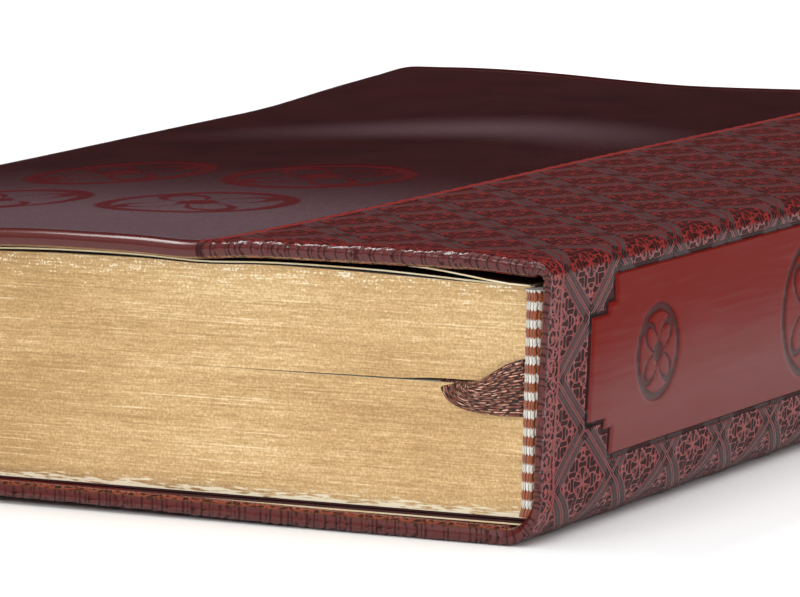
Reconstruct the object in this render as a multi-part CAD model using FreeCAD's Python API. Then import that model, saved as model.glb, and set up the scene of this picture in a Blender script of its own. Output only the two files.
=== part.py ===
"""Leather-bound bible with gilt edges and a ribbon marker, lying closed on its back cover.

Frame: origin under the middle of the closed book. +X points to the spine, +Y from the head
edge to the tail edge, +Z from the back cover up to the front cover. Units are millimetres.
"""

import FreeCAD, Part
import math
import os

Vector = FreeCAD.Vector

# Closed book
COVER_WIDTH = 140.0
COVER_LENGTH = 216.0
THICKNESS = 34.0
COVER_CORNER_RADIUS = 9.0

# Cover layers, counted from the outside
SKIN = 0.8
BOARD = 0.7
TURN_IN = 0.5
PASTEDOWN = 0.2
TURN_IN_WIDTH = 12.0
PASTEDOWN_INSET = 2.5
BOARD_SPINE_GAP = 4.0

# Spine and joints
JOINT_RADIUS = 2.5
JOINT_LEATHER = 0.9
SPINE_LEATHER = 0.9
INLAY = 0.7
SPINE_TURN_IN_LENGTH = 8.0
INLAY_CLEARANCE = 1.0

# Text block
SQUARE = 4.0
HOLLOW = 4.2
FLYLEAF = 0.2
FLYLEAF_GAP = 0.15
BLOCK_GAP = 0.05
MARKER_GAP = 0.5
REAR_SECTIONS = 14
FRONT_SECTIONS = 12
BLOCK_CORNER_RADIUS = 7.0

# Sewing and lining on the back of the sections
THREAD = 0.35
THREAD_WIDTH = 1.2
SEWING_STATIONS = (-90.0, -54.0, -18.0, 18.0, 54.0, 90.0)
LINING = 0.35
LINING_HALF_LENGTH = 100.0

# Head band and tail band
BAND_RADIUS = 1.1
BAND_SKIRT = 0.3
BAND_SKIRT_LENGTH = 12.0
BAND_END_CLEARANCE = 0.1
BAND_RIBBON_ROOM = 0.45

# Ribbon marker
RIBBON_WIDTH = 7.0
RIBBON_THICKNESS = 0.3
RIBBON_X = 57.8
ARC_SHARE = 0.45

# Worked out from the above
HALF_LENGTH = COVER_LENGTH / 2
FORE_EDGE = -COVER_WIDTH / 2
SPINE_FACE = COVER_WIDTH / 2
JOINT_EDGE = SPINE_FACE - JOINT_RADIUS
COVER_THICKNESS = SKIN + BOARD + TURN_IN + PASTEDOWN
BLOCK_HALF_LENGTH = HALF_LENGTH - SQUARE
BLOCK_FORE_EDGE = FORE_EDGE + SQUARE
BLOCK_BACK = SPINE_FACE - HOLLOW
BLOCK_BOTTOM = COVER_THICKNESS + FLYLEAF_GAP + FLYLEAF + BLOCK_GAP
BLOCK_HEIGHT = THICKNESS - 2 * BLOCK_BOTTOM
SECTION = (BLOCK_HEIGHT - MARKER_GAP) / (REAR_SECTIONS + FRONT_SECTIONS)
GUTTER = BLOCK_BOTTOM + REAR_SECTIONS * SECTION
RIBBON_HEIGHT = GUTTER + MARKER_GAP / 2

# The ribbon's route up the spine, under the head band and to the page gap, seen from above
RIBBON_HEAD_ROUTE = [
    (66.7, -97.0),
    (66.72, -101.6),
    (66.7, -103.6),
    (66.35, -104.3),
    (64.9, -104.32),
    (61.8, -105.0),
    (58.6, -104.66),
    (54.6, -104.65),
]
# Its route between the pages, seen from above
RIBBON_PAGE_ROUTE = [
    (57.8, -104.5),
    (57.8, -72.0),
    (56.0, -28.0),
    (56.3, 22.0),
    (57.8, 66.0),
    (57.8, 100.0),
]
# Its route from the page gap down to the table behind the tail edge, as (y, z)
RIBBON_TAIL_ROUTE = [
    (100.0, RIBBON_HEIGHT),
    (112.0, RIBBON_HEIGHT),
    (122.5, 13.0),
    (131.5, 4.6),
    (143.5, 0.4),
    (156.0, 0.25),
]


def box(x, y, z):
    """A block given by its (low, high) pair along each axis."""
    size = [high - low for low, high in (x, y, z)]
    return Part.makeBox(*size, Vector(x[0], y[0], z[0]))


def rounded_sheet(x_low, x_high, half_length, z_low, thickness, radius):
    """A flat sheet whose two fore-edge corners are rounded."""
    diagonal = radius * math.sqrt(0.5)
    centre_x = x_low + radius
    centre_y = half_length - radius
    head_corner = Part.Arc(
        Vector(centre_x, -half_length, z_low),
        Vector(centre_x - diagonal, -centre_y - diagonal, z_low),
        Vector(x_low, -centre_y, z_low),
    )
    tail_corner = Part.Arc(
        Vector(x_low, centre_y, z_low),
        Vector(centre_x - diagonal, centre_y + diagonal, z_low),
        Vector(centre_x, half_length, z_low),
    )
    spine_head = Vector(x_high, -half_length, z_low)
    spine_tail = Vector(x_high, half_length, z_low)
    outline = Part.Wire(
        [
            Part.makeLine(spine_head, Vector(centre_x, -half_length, z_low)),
            head_corner.toShape(),
            Part.makeLine(Vector(x_low, -centre_y, z_low), Vector(x_low, centre_y, z_low)),
            tail_corner.toShape(),
            Part.makeLine(Vector(centre_x, half_length, z_low), spine_tail),
            Part.makeLine(spine_tail, spine_head),
        ]
    )
    return Part.Face(outline).extrude(Vector(0, 0, thickness))


def inset_sheet(inset, x_high, z_low, thickness):
    """A sheet that follows the cover's outline at a distance inside it."""
    radius = max(COVER_CORNER_RADIUS - inset, 1.0)
    return rounded_sheet(FORE_EDGE + inset, x_high, HALF_LENGTH - inset, z_low, thickness, radius)


def cover_leather():
    """The outer skin, wrapped round the board's edges and turned in over its inner face."""
    board_edge = SPINE_FACE - BOARD_SPINE_GAP
    depth = SKIN + BOARD + TURN_IN
    leather = inset_sheet(0.0, JOINT_EDGE, 0.0, depth)
    board_room = inset_sheet(SKIN, board_edge, SKIN, BOARD)
    card_room = inset_sheet(TURN_IN_WIDTH, board_edge, SKIN + BOARD, TURN_IN)
    return leather.cut(board_room).cut(card_room)


def cover_pieces():
    """The pieces of the back cover, from the outside in."""
    board_edge = SPINE_FACE - BOARD_SPINE_GAP
    card_bottom = SKIN + BOARD
    return {
        "cover_leather": cover_leather(),
        "board": inset_sheet(SKIN, board_edge, SKIN, BOARD),
        "infill": inset_sheet(TURN_IN_WIDTH, board_edge, card_bottom, TURN_IN),
        "pastedown": inset_sheet(PASTEDOWN_INSET, board_edge, card_bottom + TURN_IN, PASTEDOWN),
        "flyleaf": rounded_sheet(
            BLOCK_FORE_EDGE,
            BLOCK_BACK,
            BLOCK_HALF_LENGTH,
            COVER_THICKNESS + FLYLEAF_GAP,
            FLYLEAF,
            BLOCK_CORNER_RADIUS,
        ),
        "joint_leather": joint_leather(),
    }


def joint_leather():
    """The quarter-round strip of leather between a cover and the spine."""
    centre = Vector(JOINT_EDGE, 0, JOINT_RADIUS)
    diagonal = math.sqrt(0.5)

    def on_arc(radius, along_x, along_z):
        return centre + Vector(radius * along_x, -HALF_LENGTH, -radius * along_z)

    inner_radius = JOINT_RADIUS - JOINT_LEATHER
    outer = [on_arc(JOINT_RADIUS, *at) for at in ((0, 1), (diagonal, diagonal), (1, 0))]
    inner = [on_arc(inner_radius, *at) for at in ((1, 0), (diagonal, diagonal), (0, 1))]
    outline = Part.Wire(
        [
            Part.Arc(*outer).toShape(),
            Part.makeLine(outer[-1], inner[0]),
            Part.Arc(*inner).toShape(),
            Part.makeLine(inner[-1], outer[0]),
        ]
    )
    return Part.Face(outline).extrude(Vector(0, COVER_LENGTH, 0))


def turned_over(shape):
    """The same piece on the other cover: mirrored in the plane halfway up the book."""
    return shape.mirror(Vector(0, 0, THICKNESS / 2), Vector(0, 0, 1))


def spine_leather():
    """The spine panel with its turn-ins at the head and the tail."""
    across = (JOINT_RADIUS, THICKNESS - JOINT_RADIUS)
    inner = SPINE_FACE - SPINE_LEATHER - INLAY
    panel = box((SPINE_FACE - SPINE_LEATHER, SPINE_FACE), (-HALF_LENGTH, HALF_LENGTH), across)
    for end in (-1, 1):
        edges = sorted((end * HALF_LENGTH, end * (HALF_LENGTH - SPINE_TURN_IN_LENGTH)))
        panel = panel.fuse(box((inner, SPINE_FACE - SPINE_LEATHER), edges, across))
    return panel.removeSplitter()


def spine_inlay():
    """The card strip that stiffens the spine between its turn-ins."""
    half_length = HALF_LENGTH - SPINE_TURN_IN_LENGTH
    outer = SPINE_FACE - SPINE_LEATHER
    low = JOINT_RADIUS + INLAY_CLEARANCE
    return box((outer - INLAY, outer), (-half_length, half_length), (low, THICKNESS - low))


def section(bottom):
    """One sewn section of folded leaves."""
    return rounded_sheet(
        BLOCK_FORE_EDGE, BLOCK_BACK, BLOCK_HALF_LENGTH, bottom, SECTION, BLOCK_CORNER_RADIUS
    )


def sewing_threads():
    """The chains of thread across the back of the sections, one at each sewing station."""
    bars = [
        box(
            (BLOCK_BACK, BLOCK_BACK + THREAD),
            (station - THREAD_WIDTH / 2, station + THREAD_WIDTH / 2),
            (BLOCK_BOTTOM, THICKNESS - BLOCK_BOTTOM),
        )
        for station in SEWING_STATIONS
    ]
    return Part.makeCompound(bars)


def spine_lining():
    """The open-weave cloth glued over the sewing."""
    face = BLOCK_BACK + THREAD
    return box(
        (face, face + LINING),
        (-LINING_HALF_LENGTH, LINING_HALF_LENGTH),
        (BLOCK_BOTTOM, THICKNESS - BLOCK_BOTTOM),
    )


def end_band(end):
    """The corded band at the head (end -1) or tail (end 1): a round bead on a glued skirt."""
    bottom = BLOCK_BOTTOM + BAND_END_CLEARANCE
    height = BLOCK_HEIGHT - 2 * BAND_END_CLEARANCE
    face = BLOCK_BACK + THREAD + LINING + BAND_RIBBON_ROOM
    bead_y = BLOCK_HALF_LENGTH + BAND_RADIUS + BAND_RIBBON_ROOM
    bead_x = face + BAND_SKIRT - BAND_RADIUS
    bead = Part.makeCylinder(BAND_RADIUS, height, Vector(bead_x, end * bead_y, bottom))
    edges = sorted((end * bead_y, end * (bead_y - BAND_SKIRT_LENGTH)))
    skirt = box((face, face + BAND_SKIRT), edges, (bottom, bottom + height))
    return bead.fuse(skirt).removeSplitter()


def smooth_route(points):
    """Straight runs joined by tangent arcs. Returns the wire and the arcs' radii."""
    edges, radii, start = [], [], points[0]
    for before, corner, after in zip(points, points[1:], points[2:]):
        arriving = corner - before
        leaving = after - corner
        turn = arriving.getAngle(leaving)
        setback = ARC_SHARE * min(arriving.Length, leaving.Length)
        radius = setback / math.tan(turn / 2)
        arriving.normalize()
        leaving.normalize()
        entry = corner - arriving * setback
        leave = corner + leaving * setback
        inward = leaving - arriving
        inward.normalize()
        middle = corner + inward * (radius / math.cos(turn / 2) - radius)
        edges.append(Part.makeLine(start, entry))
        edges.append(Part.Arc(entry, middle, leave).toShape())
        radii.append(radius)
        start = leave
    edges.append(Part.makeLine(start, points[-1]))
    return Part.Wire(edges), radii


def ribbon(name, points, axis, along_axis, across):
    """A flat ribbon swept along a flat route, given its section's size along an axis and across."""
    route, radii = smooth_route(points)
    heading = points[1] - points[0]
    heading.normalize()
    half_along = axis * (along_axis / 2)
    half_across = axis.cross(heading) * (across / 2)
    corners = [
        points[0] + half_along * first + half_across * second
        for first, second in ((-1, -1), (1, -1), (1, 1), (-1, 1), (-1, -1))
    ]
    swept = route.makePipeShell([Part.makePolygon(corners)], True, False)
    expected = along_axis * across * route.Length
    print(name, "length", round(route.Length, 1), "radii", [round(r, 1) for r in radii])
    print(name, "volume over section times length", round(swept.Volume / expected, 4))
    return swept


def ribbon_pieces():
    """The ribbon marker in three stretches: over the head band, between the pages, at the tail."""
    upward = Vector(0, 0, 1)
    sideways = Vector(1, 0, 0)
    head = [Vector(x, y, RIBBON_HEIGHT) for x, y in RIBBON_HEAD_ROUTE]
    pages = [Vector(x, y, RIBBON_HEIGHT) for x, y in RIBBON_PAGE_ROUTE]
    tail = [Vector(RIBBON_X, y, z) for y, z in RIBBON_TAIL_ROUTE]
    stretches = {
        "ribbon_head": (head, upward, RIBBON_WIDTH, RIBBON_THICKNESS),
        "ribbon_pages": (pages, upward, RIBBON_THICKNESS, RIBBON_WIDTH),
        "ribbon_tail": (tail, sideways, RIBBON_WIDTH, RIBBON_THICKNESS),
    }
    return {name: ribbon(name, *stretch) for name, stretch in stretches.items()}


def build():
    """Every node's shape by its name."""
    nodes = {}
    for name, shape in cover_pieces().items():
        nodes["back_" + name] = shape
        nodes["front_" + name] = turned_over(shape)
    nodes["spine_leather"] = spine_leather()
    nodes["spine_inlay"] = spine_inlay()
    for count in range(REAR_SECTIONS):
        nodes[f"rear_section_{count + 1:02d}"] = section(BLOCK_BOTTOM + count * SECTION)
    for count in range(FRONT_SECTIONS):
        bottom = GUTTER + MARKER_GAP + count * SECTION
        nodes[f"front_section_{count + 1:02d}"] = section(bottom)
    nodes["sewing_threads"] = sewing_threads()
    nodes["spine_lining"] = spine_lining()
    nodes["head_band"] = end_band(-1)
    nodes["tail_band"] = end_band(1)
    nodes.update(ribbon_pieces())
    return nodes


os.makedirs("parts", exist_ok=True)
for node, solid in build().items():
    solid.exportStep(f"parts/{node}.step")
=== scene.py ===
"""A leather-bound bible with gilt edges, an embossed case, corded end bands and a ribbon marker.

The book lies closed on its back cover. +X points to the spine, +Y from the head edge to the tail
edge and +Z from the back cover up to the front cover. Shapes are worked out in millimetres and
become metres when a mesh is made.
"""

import logging
import math
from dataclasses import dataclass
from enum import Enum
from typing import Optional, Union

import bpy
import numpy as np
from mathutils import Matrix, Vector


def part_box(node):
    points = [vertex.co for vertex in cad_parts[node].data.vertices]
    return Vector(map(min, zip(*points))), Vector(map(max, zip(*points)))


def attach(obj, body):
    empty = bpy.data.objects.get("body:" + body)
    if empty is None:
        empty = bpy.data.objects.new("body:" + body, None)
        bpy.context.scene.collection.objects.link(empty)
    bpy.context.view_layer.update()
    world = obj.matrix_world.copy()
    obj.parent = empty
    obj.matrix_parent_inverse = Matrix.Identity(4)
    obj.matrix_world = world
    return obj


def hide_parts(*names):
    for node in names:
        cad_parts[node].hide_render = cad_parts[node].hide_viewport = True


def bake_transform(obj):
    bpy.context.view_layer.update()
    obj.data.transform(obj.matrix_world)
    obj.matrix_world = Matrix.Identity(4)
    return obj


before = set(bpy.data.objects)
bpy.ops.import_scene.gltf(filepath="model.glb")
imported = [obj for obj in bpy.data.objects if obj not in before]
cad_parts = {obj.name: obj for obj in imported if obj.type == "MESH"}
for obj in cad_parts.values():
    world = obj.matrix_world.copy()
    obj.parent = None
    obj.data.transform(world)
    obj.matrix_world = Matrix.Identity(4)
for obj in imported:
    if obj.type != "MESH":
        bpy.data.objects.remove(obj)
log = logging.getLogger("bible")

MM = 0.001
ROLL_STEPS = 6
Grid = np.ndarray


# ---------------------------------------------------------------- shader sockets as expressions


class Wire:
    """A shader socket that Python's operators work on; each operator adds one Math node."""

    def __init__(self, bench: "Bench", socket: bpy.types.NodeSocket) -> None:
        """Wraps a socket of a bench's node tree."""
        self.bench = bench
        self.socket = socket

    def maths(self, operation: str, *others: "Quantity") -> "Wire":
        """Adds a Math node.

        Args:
            operation: the Math node's operation.
            others: the second and third operands.

        Returns:
            The node's result.
        """
        inputs = dict(enumerate((self, *others)))
        node = self.bench.add("ShaderNodeMath", {"operation": operation}, inputs)
        return Wire(self.bench, node.outputs[0])

    def __add__(self, other: "Quantity") -> "Wire":
        """self + other."""
        return self.maths("ADD", other)

    __radd__ = __add__

    def __mul__(self, other: "Quantity") -> "Wire":
        """self * other."""
        return self.maths("MULTIPLY", other)

    __rmul__ = __mul__

    def __sub__(self, other: "Quantity") -> "Wire":
        """self - other."""
        return self.maths("SUBTRACT", other)

    def __rsub__(self, other: float) -> "Wire":
        """other - self."""
        return (self * -1.0) + other

    def __truediv__(self, other: "Quantity") -> "Wire":
        """self / other."""
        return self.maths("DIVIDE", other)

    def __neg__(self) -> "Wire":
        """-self."""
        return self * -1.0


Quantity = Union[Wire, np.ndarray, float]


def absolute(value: Quantity) -> Quantity:
    """The size of a value, on arrays and on shader sockets alike."""
    return value.maths("ABSOLUTE") if isinstance(value, Wire) else np.abs(value)


def least(first: Quantity, second: Quantity) -> Quantity:
    """The smaller of two values."""
    if isinstance(first, Wire):
        return first.maths("MINIMUM", second)
    return second.maths("MINIMUM", first) if isinstance(second, Wire) else np.minimum(first, second)


def greatest(first: Quantity, second: Quantity) -> Quantity:
    """The larger of two values."""
    if isinstance(first, Wire):
        return first.maths("MAXIMUM", second)
    return second.maths("MAXIMUM", first) if isinstance(second, Wire) else np.maximum(first, second)


def cosine(value: Quantity) -> Quantity:
    """The cosine of an angle in radians."""
    return value.maths("COSINE") if isinstance(value, Wire) else np.cos(value)


def reach(first: Quantity, second: Quantity) -> Quantity:
    """The length of the vector (first, second)."""
    square = first * first + second * second
    return square.maths("SQRT") if isinstance(square, Wire) else np.sqrt(square)


def from_nearest(value: Quantity) -> Quantity:
    """The distance to the nearest whole number, a triangle wave from 0 to 0.5."""
    if isinstance(value, Wire):
        return value.maths("PINGPONG", 0.5)
    return np.abs(value - np.round(value))


def smooth(value: Quantity, low: float, high: float) -> Quantity:
    """A smooth step that is 0 at low and 1 at high: t * t * (3 - 2 t) of the clamped share."""
    share = (value - low) / (high - low)
    share = least(greatest(share, 0.0), 1.0)
    return share * share * (3.0 - 2.0 * share)


class Bench:
    """A material's node tree and the ways to add to it."""

    def __init__(self, name: str) -> None:
        """Makes a material with a lone Principled shader."""
        self.material = bpy.data.materials.new(name)
        self.material.use_nodes = True
        self.tree = self.material.node_tree
        self.tree.nodes.clear()
        self.shader = self.add("ShaderNodeBsdfPrincipled")
        self.add("ShaderNodeOutputMaterial", inputs={"Surface": self.shader.outputs[0]})

    def add(
        self, kind: str, settings: Optional[dict] = None, inputs: Optional[dict] = None
    ) -> bpy.types.Node:
        """Adds a node.

        Args:
            kind: the node's type.
            settings: its properties, set first; "stops" fills a colour ramp.
            inputs: socket name or number to a value, a Wire or an output socket.

        Returns:
            The new node.
        """
        node = self.tree.nodes.new(kind)
        for key, value in (settings or {}).items():
            if key == "stops":
                self.fill_ramp(node.color_ramp, value)
            else:
                setattr(node, key, value)
        for key, value in (inputs or {}).items():
            socket = node.inputs[key]
            if isinstance(value, Wire):
                self.tree.links.new(value.socket, socket)
            elif isinstance(value, bpy.types.NodeSocket):
                self.tree.links.new(value, socket)
            else:
                socket.default_value = value
        return node

    @staticmethod
    def fill_ramp(ramp: bpy.types.ColorRamp, stops: list) -> None:
        """Sets a colour ramp's stops from (place, colour) pairs."""
        while len(ramp.elements) < len(stops):
            ramp.elements.new(0.5)
        for element, (place, colour) in zip(ramp.elements, stops):
            element.position = place
            element.color = (*colour, 1.0)

    def object_point(self) -> bpy.types.NodeSocket:
        """The object coordinates, in metres."""
        return self.add("ShaderNodeTexCoord").outputs["Object"]

    def axes(self, vector: bpy.types.NodeSocket, scale: float = 1.0) -> list:
        """A vector's three components as Wires, times a scale."""
        split = self.add("ShaderNodeSeparateXYZ", inputs={0: vector})
        return [Wire(self, output) * scale for output in split.outputs]

    def vector(self, x: Quantity, y: Quantity, z: Quantity) -> bpy.types.NodeSocket:
        """A vector from three components."""
        return self.add("ShaderNodeCombineXYZ", inputs={0: x, 1: y, 2: z}).outputs[0]

    def noise(self, vector: bpy.types.NodeSocket, scale: float, detail: float = 2.0) -> Wire:
        """Noise from 0 to 1 at a scale, in cycles per unit of the vector."""
        node = self.add(
            "ShaderNodeTexNoise",
            inputs={"Vector": vector, "Scale": scale, "Detail": detail, "Roughness": 0.55},
        )
        return Wire(self, node.outputs[0])

    def cells(self, vector: bpy.types.NodeSocket, scale: float) -> Wire:
        """The distance to the nearest random point, for pebbled grain."""
        settings = {"feature": "F1", "distance": "EUCLIDEAN"}
        node = self.add("ShaderNodeTexVoronoi", settings, {"Vector": vector, "Scale": scale})
        return Wire(self, node.outputs[0])

    def blend(self, share: Quantity, low: object, high: object) -> bpy.types.NodeSocket:
        """Mixes two colours.

        Args:
            share: how much of the second colour, from 0 to 1.
            low: the first colour, a triple or a socket.
            high: the second colour, a triple or a socket.

        Returns:
            The mixed colour's socket.
        """
        colours = [(*c, 1.0) if isinstance(c, tuple) else c for c in (low, high)]
        inputs = {"Factor": share, "A": colours[0], "B": colours[1]}
        node = self.tree.nodes.new("ShaderNodeMix")
        node.data_type = "RGBA"
        sockets = {"Factor": node.inputs[0], "A": node.inputs[6], "B": node.inputs[7]}
        for key, value in inputs.items():
            source = value.socket if isinstance(value, Wire) else value
            if isinstance(source, bpy.types.NodeSocket):
                self.tree.links.new(source, sockets[key])
            else:
                sockets[key].default_value = source
        return node.outputs[2]

    def ramp(self, share: Quantity, stops: list) -> bpy.types.NodeSocket:
        """A colour from a ramp of (place, colour) stops."""
        return self.add("ShaderNodeValToRGB", {"stops": stops}, {0: share}).outputs[0]

    def feed(self, **values: object) -> None:
        """Sets or links sockets of the Principled shader; underscores stand for spaces."""
        for key, value in values.items():
            socket = self.shader.inputs[key.replace("_", " ")]
            source = value.socket if isinstance(value, Wire) else value
            if isinstance(source, bpy.types.NodeSocket):
                self.tree.links.new(source, socket)
            else:
                socket.default_value = source

    def bump(self, height: Quantity, depth_mm: float, strength: float = 1.0) -> None:
        """Feeds the shader's Normal from a height of 0 to 1 that is depth_mm deep."""
        inputs = {"Height": height, "Distance": depth_mm * MM, "Strength": strength}
        self.feed(Normal=self.add("ShaderNodeBump", inputs=inputs).outputs[0])


# ---------------------------------------------------------------- sizes from the frame


def box_mm(node: str) -> tuple:
    """A node's lowest and highest corners in millimetres."""
    low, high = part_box(node)
    return np.array(low) / MM, np.array(high) / MM


@dataclass(frozen=True)
class Book:
    """The closed book's sizes in millimetres, read from the frame."""

    half_length: float
    fore_edge: float
    spine_face: float
    joint_edge: float
    thickness: float
    cover: float
    block_half_length: float
    block_fore_edge: float
    block_back: float
    levels: tuple
    rear_sections: int

    @classmethod
    def from_frame(cls) -> "Book":
        """Reads the sizes from the CAD nodes' boxes.

        Returns:
            The sizes of the closed book.
        """
        leather_low, leather_high = box_mm("front_cover_leather")
        block_low, block_high = box_mm("rear_section_01")
        names = sorted(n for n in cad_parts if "_section_" in n)
        rear = [n for n in names if n.startswith("rear")]
        front = [n for n in names if n.startswith("front")]
        levels = tuple((box_mm(n)[0][2], box_mm(n)[1][2]) for n in rear + front)
        return cls(
            half_length=leather_high[1],
            fore_edge=leather_low[0],
            spine_face=box_mm("spine_leather")[1][0],
            joint_edge=leather_high[0],
            thickness=leather_high[2],
            cover=box_mm("back_pastedown")[1][2],
            block_half_length=block_high[1],
            block_fore_edge=block_low[0],
            block_back=block_high[0],
            levels=levels,
            rear_sections=len(rear),
        )

    @property
    def block_bottom(self) -> float:
        """The height of the block's underside."""
        return self.levels[0][0]

    @property
    def block_top(self) -> float:
        """The height of the block's top."""
        return self.levels[-1][1]

    @property
    def gutter(self) -> tuple:
        """The heights below and above the page gap that holds the ribbon."""
        return self.levels[self.rear_sections - 1][1], self.levels[self.rear_sections][0]


BOOK = Book.from_frame()


@dataclass(frozen=True)
class Drape:
    """How the limp covers and the sewn block depart from flat, as heights over the plan.

    The block swells at the sewn spine and thins to the fore edge, most at the head, so the front
    cover slopes down with it. The cover stands a little off the block along the head and tail
    edges, its overhang droops past the block, and one corner curls up.
    """

    thinning: float = 2.6
    head_rise: float = 0.62
    tail_curl: float = 1.9
    overhang: float = 1.9
    gap_closing: float = 0.49
    settling: float = 0.5
    shoulder: float = 0.8
    back_sag: float = 0.6
    table: float = -0.86

    def taper(self, x: Grid, y: Grid) -> Grid:
        """How far the block's top lies below its height at the spine."""
        across = np.clip((2.0 - x) / 68.0, 0.0, 1.05) ** 1.6
        along = 0.62 - 0.52 * y / BOOK.half_length
        return self.thinning * across * along * 1.25

    def step_dip(self, x: Grid, y: Grid) -> Grid:
        """The hollow under the rope border, where the embossed leather presses down."""
        return 0.34 * np.exp(-(((x - 21.5) / 5.5) ** 2)) * np.exp(-(y + BOOK.half_length) / 30.0)

    def cover_lift(self, x: Grid, y: Grid) -> Grid:
        """The front cover's height over its flat place."""
        from_joint = smooth(BOOK.joint_edge - x, -2.0, 9.0)
        from_head = np.exp(-(y + BOOK.half_length) / 16.0)
        from_tail = np.exp(-(BOOK.half_length - y) / 20.0)
        rise = self.head_rise * from_joint * (from_head + 0.5 * from_tail)
        settle = -0.3 - 0.3 * smooth(-x, -33.0, -19.0)
        curl = self.tail_curl * smooth(y, 52.0, 108.0) * smooth(-x, 8.0, 54.0)
        droop = self.overhang * smooth(BOOK.block_fore_edge + 5.0 - x, 0.0, 9.0) ** 1.3
        pillow = 0.62 * np.exp(-(((x + 6.0) / 22.0) ** 2) - ((y - 2.0) / 26.0) ** 2)
        hollow = 0.34 * np.exp(-(((x + 20.0) / 26.0) ** 2) - ((y + 58.0) / 22.0) ** 2)
        ripple = 0.10 * np.sin(x / 9.0 + y / 21.0) * smooth(-x, -26.0, 4.0)
        bent = curl - droop + pillow - hollow + ripple
        return rise + settle + bent - self.taper(x, y) - self.step_dip(x, y)

    def back_lift(self, x: Grid, y: Grid) -> Grid:
        """The back cover's height over its flat place; it hangs lowest beside the spine."""
        low = self.back_sag + 0.2 * smooth(x, 20.0, 60.0)
        curled = np.exp(-(y + BOOK.half_length) / 7.0) * smooth(-x, -48.0, 10.0)
        return 0.35 * curled - low

    def block_top_lift(self, x: Grid, y: Grid) -> Grid:
        """The height of the block's top over its flat place."""
        rounded = self.shoulder * smooth(x, 30.0, 66.0)
        return -self.taper(x, y) - self.settling - rounded - self.step_dip(x, y)

    def level_lift(self, index: int, x: Grid, y: Grid) -> Grid:
        """The height of a section boundary over its flat place.

        Args:
            index: the section whose underside it is; the number of sections gives the top.
            x: plan positions across the book.
            y: plan positions along the book.

        Returns:
            The heights, which fall in step from the top of the block down to its underside.
        """
        count = len(BOOK.levels)
        share = index / count
        above = np.clip((index - BOOK.rear_sections) / (count - BOOK.rear_sections), 0.0, 1.0)
        lift = self.block_top_lift(x, y) * above
        lift = lift - self.back_sag * np.clip(1.0 - 2.0 * share, 0.0, 1.0)
        if index >= BOOK.rear_sections:
            opened = 0.35 * smooth(x, 18.0, 46.0) + 0.65 * smooth(x, 47.0, 53.5)
            opened = opened * (1.0 - 0.7 * smooth(x, 62.0, 65.5))
            lift = lift - self.gap_closing * (1.0 - opened) * (1.0 - above)
        return lift


@dataclass(frozen=True)
class Lean:
    """How far the round of the spine and the block's back stand out towards the top."""

    spine_slope: float = 0.068
    band_foot: float = 67.5
    band_slope: float = 0.0373
    block_foot: float = 0.62
    block_slope: float = 0.0357
    convex: float = 0.55

    def spine(self, z: Grid) -> Grid:
        """The spine's shift at a height: a slope that starts softly above the back joint."""
        up = z - 8.0
        return self.spine_slope * 0.5 * (np.sqrt(up * up + 9.0) + up)

    def cover(self, x: Grid, z: Grid) -> Grid:
        """The front cover's shift, which fades out across the embossed border."""
        return self.spine(z) * smooth(x, 16.0, BOOK.joint_edge)

    def round(self, y: Grid, z: Grid) -> Grid:
        """The gentle roundness of the spine's face between its ends."""
        middle = 0.5 * BOOK.thickness
        bow = np.clip(1.0 - ((z - middle) / (middle - 3.0)) ** 2, 0.0, 1.0)
        return self.convex * bow * smooth(BOOK.half_length - np.abs(y), 5.0, 18.0)

    def block(self, z: Grid) -> Grid:
        """The shift of the sections' folds at a height."""
        return self.block_foot + self.block_slope * z

    def band(self, z: Grid) -> Grid:
        """Where the end bands' cores lie across the book at a height."""
        return self.band_foot + self.band_slope * z


DRAPE = Drape()
LEAN = Lean()


# ---------------------------------------------------------------- meshes


class Shading(Enum):
    """How a mesh's faces are shaded."""

    FLAT = "flat"
    SMOOTH = "smooth"
    EDGED = "edged"


EDGE_ANGLE = math.radians(38.0)


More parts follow.
